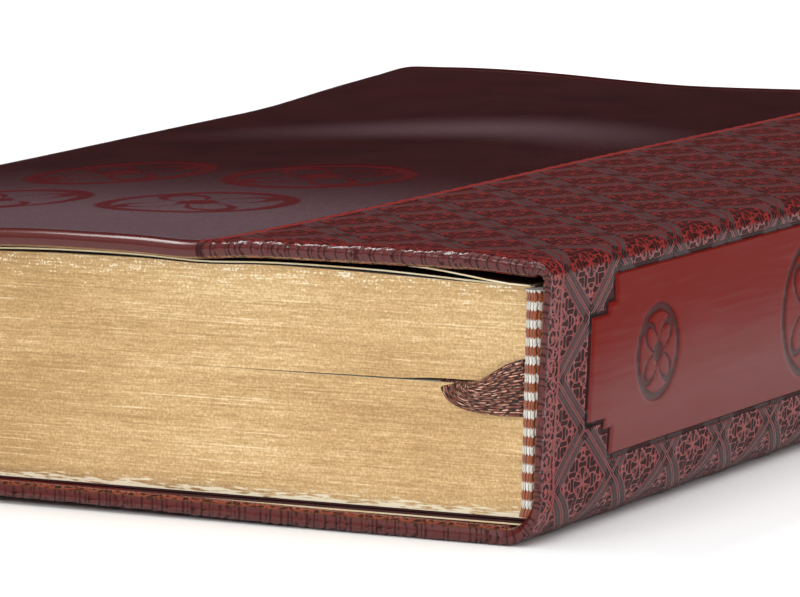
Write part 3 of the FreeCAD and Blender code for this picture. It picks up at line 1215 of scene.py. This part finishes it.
@dataclass
class Case:
    """The embossed leather of both covers, the joints and the spine."""

    finishes: Finishes
    corner: float = 9.0
    roll: float = 1.08
    equator: float = 0.14
    front_radius: float = 2.5
    back_radius: float = 5.0
    fine: float = 0.52
    coarse: float = 1.0
    stride: int = 3
    wall: float = 0.85
    spine_roll: float = 0.48
    bead: float = 0.13
    turn_in: float = 14.0

    def rows(self) -> Grid:
        """Places along the book shared by every piece of the case."""
        return rolled_rows(BOOK.half_length, self.roll, self.fine, self.stride)

    def cover_columns(self, front: bool) -> Grid:
        """Distances from the joint to the fore edge, as shares of the cover's width."""
        edge = BOOK.joint_edge if front else BOOK.spine_face - self.back_radius
        width = edge - BOOK.fore_edge
        band = EMBOSS.band_end + 1.5
        pace = self.coarse
        stretch = [(0.0, self.fine), (band, pace), (width - self.roll, None)]
        flat = paced(stretch, 1)
        quarter = np.linspace(0.0, math.pi / 2, ROLL_STEPS + 1)[1:]
        rolled = width - self.roll * (1.0 - np.sin(quarter))
        columns = np.append(flat, rolled)
        spare = -(len(columns) - 1) % self.stride
        extra = np.linspace(flat[-2], flat[-1], spare + 2)[1:-1]
        return np.sort(np.append(columns, extra)) / width

    def cover_plan(self, front: bool) -> tuple:
        """The plan of a cover's grid.

        Args:
            front: the front cover, or else the back one.

        Returns:
            Places across, along, and the distance inside the outline, as grids.
        """
        y = self.rows()[:, None]
        edge = BOOK.joint_edge if front else BOOK.spine_face - self.back_radius
        shares = self.cover_columns(front)[None, :]
        fore = fore_line(y, BOOK.fore_edge, BOOK.half_length, self.corner)
        x = edge + (fore - edge) * shares
        y = np.broadcast_to(y, x.shape)
        inside = edge_distance(x, y, BOOK.fore_edge, BOOK.half_length, self.corner)
        return x, y, np.maximum(inside, 0.0)

    def bulge(self, inside: Grid, radius: Quantity) -> Grid:
        """The half thickness near a rolled edge: a quarter circle of the distance inside."""
        share = np.clip(inside / radius, 0.0, 1.0)
        return self.equator + (radius - self.equator) * np.sqrt(1.0 - (1.0 - share) ** 2)

    def turned_in(self, s: Grid, y: Grid, inside: Grid) -> Grid:
        """The UV pairs of the leather turned in over an edge, where the pattern comes back."""
        near = inside < self.turn_in
        return developed(np.where(near, s, FLAT_PLACE[0]), np.where(near, y, 0.0))

    def cover(self, front: bool) -> bpy.types.Object:
        """One cover's leather: a slab with rolled edges, embossed on its outer face.

        The outer face's height is the drape's middle height, plus the half thickness of the roll,
        plus a bead along the edge and the broad shapes of the pattern.

        Args:
            front: the front cover, or else the back one.

        Returns:
            The closed skin of the cover.
        """
        x, y, inside = self.cover_plan(front)
        half = self.bulge(inside, self.roll)
        swollen = half + self.bead * np.exp(-(((inside - 1.5) / 1.1) ** 2))
        if front:
            s = BOOK.joint_edge - x
            outward = 1.0
            middle = BOOK.thickness - self.roll + DRAPE.cover_lift(x, y)
        else:
            arc = self.back_radius * math.pi / 2
            spine = BOOK.thickness - self.front_radius - self.back_radius
            s = EMBOSS.spine_top - spine - arc - (BOOK.spine_face - self.back_radius - x)
            outward = -1.0
            middle = self.roll + DRAPE.back_lift(x, y)
        relief = EMBOSS.relief(s, y)["form"] * EMBOSS.depth
        thin = 1.0 if front else 1.0 - 0.28 * smooth(-x, -46.0, 6.0)
        outer_z = middle + outward * (swollen * thin - EMBOSS.depth * 0.55 + relief)
        if front:
            groove = np.exp(-(((inside - 3.2) / 0.45) ** 2)) * smooth(-x, -24.5, -23.5)
            outer_z = outer_z - 0.2 * groove
        else:
            outer_z = np.maximum(outer_z, DRAPE.table)
        k = self.stride
        inner_z = middle - outward * (swollen - 0.12)
        shift = LEAN.cover(x, outer_z) if front else 0.0
        outer = np.stack([x + shift, y, outer_z], axis=-1)
        shift = LEAN.cover(x, inner_z) if front else 0.0
        inner = np.stack([x + shift, y, inner_z], axis=-1)[::k, ::k]
        stock = Stock()
        under = self.turned_in(s, y, inside)[::k, ::k]
        stock.slab(outer, inner, k, upper_uv=developed(s, y), lower_uv=under)
        side = "front" if front else "back"
        made = stock.make(f"{side}_cover_skin", [self.finishes.leather])
        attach(made, f"{side}_cover")
        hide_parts(f"{side}_cover_leather")
        return made

    def edge_radius(self, s: Grid) -> Grid:
        """The roll's radius at the head and tail: thick at the covers, thin on the spine."""
        foot = EMBOSS.spine_top - (BOOK.thickness - self.front_radius - self.back_radius)
        far = foot - self.back_radius * math.pi / 2
        places = [far, foot, EMBOSS.spine_top, 0.0]
        return np.interp(s, places, [self.roll, self.spine_roll, self.spine_roll, self.roll])

    def strip(self, name: str, path: Grid, normal: Grid, s: Grid) -> bpy.types.Object:
        """A strip of leather carried along the book from a profile across it.

        Args:
            name: the piece's name.
            path: the outer profile, as (x, z) pairs.
            normal: its outward directions, as (x, z) pairs.
            s: the distance across at each profile point.

        Returns:
            The closed strip, whose head and tail ends are rolled.
        """
        y = self.rows()[:, None]
        across = s[None, :]
        inward = BOOK.half_length - np.abs(y)
        radius = self.edge_radius(across)
        rolled = self.bulge(np.broadcast_to(inward, (len(y), len(s))), radius) - radius
        relief = EMBOSS.relief(*np.broadcast_arrays(across, y))["form"]
        raised = rolled + EMBOSS.depth * (relief - 0.55)
        edge = np.full_like(y, BOOK.joint_edge)
        lift = DRAPE.cover_lift(edge, y) * smooth(across, EMBOSS.spine_top, 0.0)
        foot = EMBOSS.spine_top - (BOOK.thickness - self.front_radius - self.back_radius)
        under = smooth(foot - across, 0.0, self.back_radius * math.pi / 2)
        lift = lift + DRAPE.back_lift(edge, y) * under
        outer = self._carried(path, normal, raised, y, lift)
        k = self.stride
        at_end = 1.0 - smooth(inward, 1.0, 4.0)
        thick = self.wall + (2 * radius - self.wall) * at_end
        inner = self._carried(path, normal, -(thick + rolled), y, lift)[::k, ::k]
        stock = Stock()
        uv = developed(*np.broadcast_arrays(across, y))
        inside = np.broadcast_to(inward, uv.shape[:2])
        turned = self.turned_in(*np.broadcast_arrays(across, y), inside)[::k, ::k]
        stock.slab(outer, inner, k, upper_uv=uv, lower_uv=turned)
        made = stock.make(name, [self.finishes.leather])
        return made

    @staticmethod
    def _carried(path: Grid, normal: Grid, raised: Grid, y: Grid, lift: Grid) -> Grid:
        """Points of a profile carried along y, moved out by raised and up by lift."""
        x = path[None, :, 0] + normal[None, :, 0] * raised
        z = path[None, :, 1] + normal[None, :, 1] * raised + lift
        y = np.broadcast_to(y, x.shape)
        x = x + LEAN.spine(z) + LEAN.round(y, z) * normal[None, :, 0]
        return np.stack([x, y, z], axis=-1)

    def arc(self, centre: tuple, radius: float, start: float, end: float) -> tuple:
        """A stretch of arc as (points, normals), from angle start to end in degrees."""
        steps = max(6, round(radius * math.radians(abs(end - start)) / 0.4))
        steps += -steps % self.stride
        angle = np.radians(np.linspace(start, end, steps + 1))
        normal = np.stack([np.cos(angle), np.sin(angle)], axis=-1)
        return np.array(centre) + radius * normal, normal

    def joints_and_spine(self) -> list:
        """The front joint in two halves, the spine and the back joint.

        Returns:
            The four strips.
        """
        face, top = BOOK.spine_face, BOOK.thickness
        front = (face - self.front_radius, top - self.front_radius)
        back = (face - self.back_radius, self.back_radius)
        half = self.front_radius * math.pi / 4
        made = []
        for name, bodies, start in (
            ("front_joint_upper", ("front_joint", "front_cover"), 90.0),
            ("front_joint_lower", ("spine", "front_joint"), 45.0),
        ):
            path, normal = self.arc(front, self.front_radius, start, start - 45.0)
            away = -half * (90.0 - start) / 45.0
            piece = self.strip(name, path, normal, np.linspace(away, away - half, len(path)))
            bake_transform(piece)
            made.append(piece)
        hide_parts("front_joint_leather")
        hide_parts("front_joint_leather")
        low, high = self.back_radius, top - self.front_radius
        steps = round((high - low) / 0.36)
        steps += -steps % self.stride
        z = np.linspace(high, low, steps + 1)
        path = np.stack([np.full_like(z, face), z], axis=-1)
        normal = np.tile([1.0, 0.0], (len(z), 1))
        spine = self.strip("spine_skin", path, normal, EMBOSS.spine_top - (high - z))
        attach(spine, "spine")
        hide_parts("spine_leather")
        path, normal = self.arc(back, self.back_radius, 0.0, -90.0)
        foot = EMBOSS.spine_top - (high - low)
        s = np.linspace(foot, foot - self.back_radius * math.pi / 2, len(path))
        joint = self.strip("back_joint", path, normal, s)
        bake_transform(joint)
        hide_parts("back_joint_leather")
        return [*made, spine, joint]

    def build(self) -> list:
        """Every piece of the case."""
        return [self.cover(True), self.cover(False), *self.joints_and_spine()]


# ---------------------------------------------------------------- boards and endpapers


@dataclass
class CoverLining:
    """The flat pieces inside each cover, which follow its drape."""

    finishes: Finishes
    pace: float = 3.0
    corner: float = 7.0

    def sheet(
        self, node: str, body: str, finish: bpy.types.Material, lift: str
    ) -> bpy.types.Object:
        """A sheet the size of a CAD node that follows the cover or the block.

        Args:
            node: the CAD node that it stands for.
            body: the body that it rides on.
            finish: its material.
            lift: "cover", "block" or "flat", what it follows.

        Returns:
            The closed sheet.
        """
        low, high = box_mm(node)
        y = np.linspace(low[1], high[1], 2 * round((high[1] - low[1]) / self.pace / 2) + 1)[:, None]
        fore = fore_line(y, low[0], high[1], self.corner)
        shares = np.linspace(0.0, 1.0, 2 * round((high[0] - low[0]) / self.pace / 2) + 1)[None, :]
        x = high[0] + (fore - high[0]) * shares
        y = np.broadcast_to(y, x.shape)
        rise = DRAPE.back_lift(np.minimum(x, 20.0), np.zeros_like(y))
        if lift == "cover":
            rise = DRAPE.cover_lift(x, y)
        on_block = DRAPE.block_top_lift(x, y) + 0.22 * smooth(62.0 - x, 0.0, 18.0)
        on_block = on_block + 0.10 * np.sin(x / 7.0 + 1.1) * np.exp(-(y + BOOK.half_length) / 30.0)
        if lift == "block":
            rise = on_block
        if node == "front_pastedown":
            hinge = smooth(x, 46.0, 66.0)
            rise = rise + (on_block - 0.12 - rise) * hinge
        shift = LEAN.block(high[2]) * smooth(x, 20.0, 64.0)
        upper = np.stack([x + shift, y, high[2] + rise], axis=-1)
        lower = np.stack([x + shift, y, low[2] + rise], axis=-1)
        stock = Stock()
        stock.slab(upper, lower, 1, slots=(0, 0, 1))
        bare = finish is self.finishes.card or node == "back_flyleaf"
        edge = finish if bare else self.finishes.paper_edge
        made = stock.make(f"{node}_sheet", [finish, edge])
        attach(made, body)
        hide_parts(node)
        return made

    def build(self) -> list:
        """The boards, infills, pastedowns and flyleaves of both covers, and the spine inlay."""
        card, paper = self.finishes.card, self.finishes.endpaper
        made = []
        for side, lift in (("front", "cover"), ("back", "flat")):
            body = f"{side}_cover"
            made.append(self.sheet(f"{side}_board", body, card, lift))
            made.append(self.sheet(f"{side}_infill", body, card, lift))
            made.append(self.sheet(f"{side}_pastedown", body, paper, lift))
        made.append(self.sheet("front_flyleaf", "front_joint", paper, "block"))
        made.append(self.sheet("back_flyleaf", "back_cover", paper, "flat"))
        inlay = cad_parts["spine_inlay"]
        inlay.data.materials.clear()
        inlay.data.materials.append(card)
        return [*made, inlay]


# ---------------------------------------------------------------- the text block


@dataclass
class TextBlock:
    """The sewn sections, each with its threads, its bit of lining and its end-band wraps."""

    finishes: Finishes
    pace: float = 2.4
    corner: float = 7.0
    fold: float = 0.5
    bead: float = 1.2

    @staticmethod
    def name(index: int) -> str:
        """The CAD node and body of a section, counted from the back."""
        if index < BOOK.rear_sections:
            return f"rear_section_{index + 1:02d}"
        return f"front_section_{index - BOOK.rear_sections + 1:02d}"

    def columns(self) -> Grid:
        """Shares of the width from the fold to the fore edge, crowded at the fold."""
        width = BOOK.block_back - BOOK.block_fore_edge
        fold = self.fold * (1.0 - np.cos(np.linspace(0.0, math.pi / 2, 4)))
        rest = np.linspace(fold[-1], width, round(width / self.pace) + 1)[1:]
        return np.append(fold, rest) / width

    def section(self, index: int) -> bpy.types.Object:
        """One section: flat leaves with gilt on three sides and a rounded fold on the fourth.

        Args:
            index: the section, counted from the back.

        Returns:
            The closed section. The one under the page gap keeps its flat top for the ribbon.
        """
        low, high = BOOK.levels[index]
        half = BOOK.block_half_length
        y = np.linspace(-half, half, 2 * round(half / self.pace) + 1)[:, None]
        fore = fore_line(y, BOOK.block_fore_edge, half, self.corner)
        x = BOOK.block_back + (fore - BOOK.block_back) * self.columns()[None, :]
        y = np.broadcast_to(y, x.shape)
        share = np.clip((BOOK.block_back - x) / self.fold, 0.0, 1.0)
        round_off = 0.42 * (high - low) * (1.0 - np.sqrt(1.0 - (1.0 - share) ** 2))
        top = high + DRAPE.level_lift(index + 1, x, y) - round_off
        bottom = low + DRAPE.level_lift(index, x, y) + round_off
        if index == BOOK.rear_sections - 1:
            top = high - round_off
        leaned = x + LEAN.block(0.5 * (low + high)) * smooth(x, 10.0, 62.0)
        stock = Stock()
        stock.slab(
            np.stack([leaned, y, top], axis=-1),
            np.stack([leaned, y, bottom], axis=-1),
            1,
            slots=(0, 0, 1),
        )
        name = self.name(index)
        made = stock.make(f"{name}_leaves", [self.finishes.page, self.finishes.gilt])
        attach(made, name)
        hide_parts(name)
        return made

    def wraps(self, index: int) -> bpy.types.Object:
        """The threads that tie both end bands to one section, wound over the round cores.

        The radius swells by a sine over the section's height; the first and last wraps fray out.

        Args:
            index: the section, counted from the back.

        Returns:
            The wraps at the head and the tail, as one piece.
        """
        low, high = BOOK.levels[index]
        last = len(BOOK.levels) - 1
        if index == BOOK.rear_sections - 1:
            high = BOOK.gutter[1] - 0.02
        z = np.linspace(low, high, 11)[:, None]
        swell = 0.10 * np.sin(math.pi * (z - low) / (high - low))
        if index in (0, last):
            outer = (low - z if index == 0 else z - high) / (high - low) + 1.0
            swell = swell + 0.30 * np.clip(outer, 0.0, 1.0) ** 2
        stock = Stock()
        for end, band in ((-1, "head_band"), (1, "tail_band")):
            band_low, band_high = box_mm(band)
            reach_out = band_low[1] if end < 0 else band_high[1]
            angle = np.linspace(0.0, 2 * math.pi, 25)[None, :-1]
            radius = self.bead - 0.06 + swell + 0.05 * np.cos(angle * 14.0)
            x = LEAN.band(z) + radius * np.cos(angle)
            y = reach_out - end * self.bead + radius * np.sin(angle)
            drop = DRAPE.block_top_lift(np.array(66.0), np.array(0.0)) * (z / BOOK.block_top) ** 6
            stock.tube(np.stack([x, y, np.broadcast_to(z + drop, x.shape)], axis=-1))
        name = self.name(index)
        made = stock.make(f"{name}_band_wraps", [self.finishes.band])
        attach(made, name)
        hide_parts("head_band", "tail_band")
        return made

    def sewing(self, index: int) -> bpy.types.Object:
        """One section's link of each sewing chain, and the lining glued across its fold.

        A link is two tubes that bow apart by a sine over the section's height.

        Args:
            index: the section, counted from the back.

        Returns:
            The lining and the links, as one piece.
        """
        shares = [level / len(BOOK.levels) for level in (index, index + 1)]
        sag = [DRAPE.back_sag * max(0.0, 1.0 - 2.0 * share) for share in shares]
        low = BOOK.levels[index][0] - sag[0] + 0.04
        high = BOOK.levels[index][1] - sag[1] - 0.04
        lining_low, lining_high = box_mm("spine_lining")
        thread_low, thread_high = box_mm("sewing_threads")
        stock = Stock()
        y = np.linspace(lining_low[1], lining_high[1], 41)[:, None]
        z = np.linspace(low, high, 3)[None, :]
        y, z = np.broadcast_arrays(y, z)
        weave = 0.04 * np.cos(y * 1.9) * np.cos(z * 5.0)
        shift = LEAN.block(0.5 * (low + high))
        faces = [np.full_like(y, x) + weave + shift for x in (lining_high[0], lining_low[0] + 0.1)]
        stock.slab(*(np.stack([x, y, z], axis=-1) for x in faces), 1)
        stations = np.linspace(thread_low[1] + 0.6, thread_high[1] - 0.6, 6)
        angle = np.linspace(0.0, 2 * math.pi, 9)[None, :-1]
        middle_x = 0.5 * (thread_low[0] + thread_high[0]) + shift + 0.1
        for station in stations:
            for side in (-1.0, 1.0):
                t = np.linspace(0.0, 1.0, 7)[:, None]
                bow = side * 0.38 * np.sin(math.pi * t)
                y = station + bow + 0.16 * np.cos(angle)
                x = middle_x + 0.16 * np.sin(angle) + 0.0 * t
                ring = np.stack([x, y, low + (high - low) * t + 0.0 * angle], axis=-1)
                stock.tube(ring, slot=1)
        name = self.name(index)
        finishes = [self.finishes.lining, self.finishes.thread]
        made = stock.make(f"{name}_sewing", finishes)
        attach(made, name)
        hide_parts("spine_lining", "sewing_threads")
        return made

    def build(self) -> list:
        """Every piece of the block."""
        made = []
        for index in range(len(BOOK.levels)):
            made += [self.section(index), self.wraps(index), self.sewing(index)]
        return made


# ---------------------------------------------------------------- the ribbon marker


@dataclass
class Ribbon:
    """The ribbon marker, from the spine under the head band, through the pages, to the table."""

    finishes: Finishes
    width: float = 7.0
    thickness: float = 0.26
    threads_across: int = 24
    route: tuple = (
        (66.7, -97.0, 18.1),
        (66.8, -101.6, 18.0),
        (66.9, -103.6, 17.9),
        (66.2, -104.5, 17.9),
        (64.0, -105.0, 17.6),
        (61.4, -105.4, 17.1),
        (59.4, -105.3, 16.9),
        (58.1, -104.6, 17.4),
        (57.8, -103.4, 18.09),
        (57.8, -99.0, 18.09),
        (57.8, -72.0, 18.09),
        (56.0, -28.0, 18.09),
        (56.3, 22.0, 18.09),
        (57.8, 66.0, 18.09),
        (57.8, 100.0, 18.09),
        (57.8, 112.0, 18.09),
        (57.8, 122.5, 12.6),
        (57.8, 131.5, 3.9),
        (57.8, 143.5, -0.5),
        (57.8, 156.0, -0.6),
    )

    def centreline(self) -> Grid:
        """Points along the smooth NURBS line that the route's points pull.

        Returns:
            The points in millimetres, from the spine to the free end.
        """
        curve = bpy.data.curves.new("ribbon_route", "CURVE")
        curve.dimensions = "3D"
        curve.resolution_u = 24
        spline = curve.splines.new("NURBS")
        spline.points.add(len(self.route) - 1)
        for point, place in zip(spline.points, self.route):
            point.co = (*(c * MM for c in place), 1.0)
        spline.order_u = 3
        spline.use_endpoint_u = True
        carrier = bpy.data.objects.new("ribbon_route", curve)
        mesh = bpy.data.meshes.new_from_object(carrier)
        points = np.array([v.co for v in mesh.vertices]) / MM
        bpy.data.objects.remove(carrier)
        bpy.data.meshes.remove(mesh)
        bpy.data.curves.remove(curve)
        return points

    def build(self) -> list:
        """The ribbon: a flat section carried along the centreline.

        It stands upright behind the band, bows outwards as it turns and lies flat between the
        pages. Angle, half width and bow are read off short tables along its length and smoothed.

        Returns:
            The ribbon, alone in a list.
        """
        line = self.centreline()
        keep = np.append(True, np.linalg.norm(np.diff(line, axis=0), axis=1) > 1e-6)
        line = line[keep]
        heading = np.gradient(line, axis=0)
        heading /= np.linalg.norm(heading, axis=1)[:, None]
        gone = np.append(0.0, np.cumsum(np.linalg.norm(np.diff(line, axis=0), axis=1)))
        stations = [0.0, 7.5, 10.0, 12.5, 14.6, 16.2, 17.6, 19.5, 500.0]
        soft = np.ones(9) / 9.0
        turned, half_width, bow = (
            np.convolve(np.pad(np.interp(gone, stations, values), 4, mode="edge"), soft, "valid")
            for values in (
                np.radians([0.0, 0.0, 6.0, 20.0, 42.0, 72.0, 90.0, 90.0, 90.0]),
                [3.5, 3.5, 3.2, 2.6, 2.4, 3.0, 3.5, 3.5, 3.5],
                [0.0, 0.1, 0.5, 1.0, 0.9, 0.3, 0.0, 0.0, 0.0],
            )
        )
        side = np.stack([np.sin(turned), 0.0 * turned, np.cos(turned)], axis=-1)
        across = np.linspace(-0.5, 0.5, self.threads_across + 1)
        face = np.cross(heading, side)
        face /= np.linalg.norm(face, axis=1)[:, None]
        outward = np.sign(-face[:, 1:2] + 1e-6)
        crease = bow[:, None] * (1.0 - 4.0 * across[None, :] ** 2) * outward
        crease = crease + 0.14 * np.sin(across[None, :] * 17.0) * bow[:, None]
        selvedge = 1.0 - 0.55 * smooth(np.abs(across), 0.44, 0.5)
        half = 0.5 * self.thickness * selvedge[None, :]
        span = (2.0 * half_width)[:, None, None] * across[None, :, None]
        middle = line[:, None] + side[:, None] * span
        middle = middle + face[:, None] * crease[..., None]
        upper = middle + face[:, None] * half[..., None]
        lower = middle - face[:, None] * half[..., None]
        shares = np.broadcast_arrays(gone[:, None], across[None, :] * self.width)
        uv = np.stack(shares, axis=-1) / UV_SPAN + 0.02
        stock = Stock()
        stock.slab(upper, lower, 1, upper_uv=uv, lower_uv=uv)
        made = stock.make("ribbon_marker", [self.finishes.satin])
        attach(made, TextBlock.name(BOOK.rear_sections - 1))
        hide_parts("ribbon_head", "ribbon_pages", "ribbon_tail")
        self.width * MM
        return [made]


# ---------------------------------------------------------------- studio


@dataclass(frozen=True)
class Camera:
    """The camera: a long lens, a little above the head edge and turned towards the spine."""

    azimuth: float = 28.43
    elevation: float = 7.53
    roll: float = -0.61
    distance: float = 608.0
    aside: float = -16.6
    above: float = 29.06
    lens: float = 229.95

    def build(self) -> None:
        """Places the camera by its angles about the spine's head corner."""
        a, e, r = (math.radians(v) for v in (self.azimuth, self.elevation, self.roll))
        back = Vector((math.sin(a) * math.cos(e), -math.cos(a) * math.cos(e), math.sin(e)))
        level = Vector((math.cos(a), math.sin(a), 0.0))
        upright = back.cross(level)
        right = math.cos(r) * level + math.sin(r) * upright
        top = math.cos(r) * upright - math.sin(r) * level
        corner = Vector((BOOK.spine_face, -BOOK.half_length, 0.0))
        place = (corner + back * self.distance + right * self.aside + top * self.above) * MM
        data = bpy.data.cameras.new("camera")
        data.lens = self.lens
        data.sensor_width = 36.0
        data.clip_start = 0.05
        made = bpy.data.objects.new("camera", data)
        rotation = Matrix((right, top, back)).transposed().to_4x4()
        made.matrix_world = Matrix.Translation(place) @ rotation
        bpy.context.scene.collection.objects.link(made)
        bpy.context.scene.camera = made


@dataclass(frozen=True)
class Softbox:
    """One area light aimed at the book."""

    name: str
    place: tuple
    size: tuple
    power: float
    colour: tuple = (1.0, 1.0, 1.0)
    aim: tuple = (0.03, -0.06, 0.02)
    spread: float = 180.0

    def build(self) -> None:
        """Adds the light."""
        data = bpy.data.lights.new(self.name, "AREA")
        data.shape = "RECTANGLE"
        data.size, data.size_y = self.size
        data.energy = self.power
        data.color = self.colour
        data.spread = math.radians(self.spread)
        made = bpy.data.objects.new(self.name, data)
        made.location = self.place
        towards = Vector(self.aim) - Vector(self.place)
        made.rotation_euler = towards.to_track_quat("-Z", "Y").to_euler()
        bpy.context.scene.collection.objects.link(made)


@dataclass
class Set:
    """The pale floor, the world and the lights."""

    finishes: Finishes
    span: float = 8.0

    def build(self) -> None:
        """Builds the floor, the world and the lights."""
        half = self.span / 2 / MM
        edge = np.linspace(-half, half, 3)
        x, y = np.meshgrid(edge, edge)
        stock = Stock()
        upper = np.stack([x, y, np.full_like(x, DRAPE.table)], axis=-1)
        lower = np.stack([x, y, np.full_like(x, -10.0)], axis=-1)
        stock.slab(upper, lower, 1)
        stock.make("studio_floor", [self.finishes.floor], Shading.FLAT)
        self._world()
        for light in (
            Softbox("overhead", (0.30, -0.10, 1.15), (1.3, 1.3), 7.0),
            Softbox("strip", (-0.56, 0.0, 1.08), (0.7, 0.12), 3.2),
            Softbox("front", (-0.05, -1.2, 0.55), (0.9, 0.4), 4.5),
            Softbox("side", (1.25, -0.15, 0.50), (0.5, 0.5), 2.6),
            Softbox("rear_sheen", (-0.62, 1.25, 0.27), (0.5, 0.05), 0.012),
            Softbox(
                "rear_floor", (-0.7, 1.6, 1.0), (2.4, 2.4), 13.0, aim=(-0.7, 1.6, 0.0), spread=60.0
            ),
        ):
            light.build()

    @staticmethod
    def _world() -> None:
        """A soft dome, bright overhead and in front and dark low down behind the book."""
        world = bpy.data.worlds.new("studio")
        world.use_nodes = True
        tree = world.node_tree
        tree.nodes.clear()
        direction = tree.nodes.new("ShaderNodeTexCoord").outputs["Generated"]
        lean = tree.nodes.new("ShaderNodeVectorMath")
        lean.operation = "DOT_PRODUCT"
        lean.inputs[1].default_value = (0.28, -0.52, 0.80)
        fade = tree.nodes.new("ShaderNodeValToRGB")
        stops = [(0.10, (0.012,) * 3), (0.45, (0.32,) * 3), (0.85, (1.0,) * 3)]
        Bench.fill_ramp(fade.color_ramp, stops)
        sky = tree.nodes.new("ShaderNodeBackground")
        out = tree.nodes.new("ShaderNodeOutputWorld")
        tree.links.new(direction, lean.inputs[0])
        tree.links.new(lean.outputs["Value"], fade.inputs[0])
        tree.links.new(fade.outputs[0], sky.inputs[0])
        tree.links.new(sky.outputs[0], out.inputs[0])
        bpy.context.scene.world = world
        bpy.context.scene.view_settings.view_transform = "Standard"


def main() -> None:
    """Builds the book, the set and the camera."""
    logging.basicConfig(level=logging.INFO, format="%(message)s")
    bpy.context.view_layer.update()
    finishes = Finishes.make()
    Camera().build()
    for part in (Ribbon(finishes), Case(finishes), CoverLining(finishes), TextBlock(finishes)):
        for piece in part.build():
            log.info("%s: %d faces", piece.name, len(piece.data.polygons))
    Set(finishes).build()


if __name__ == "__main__":
    main()
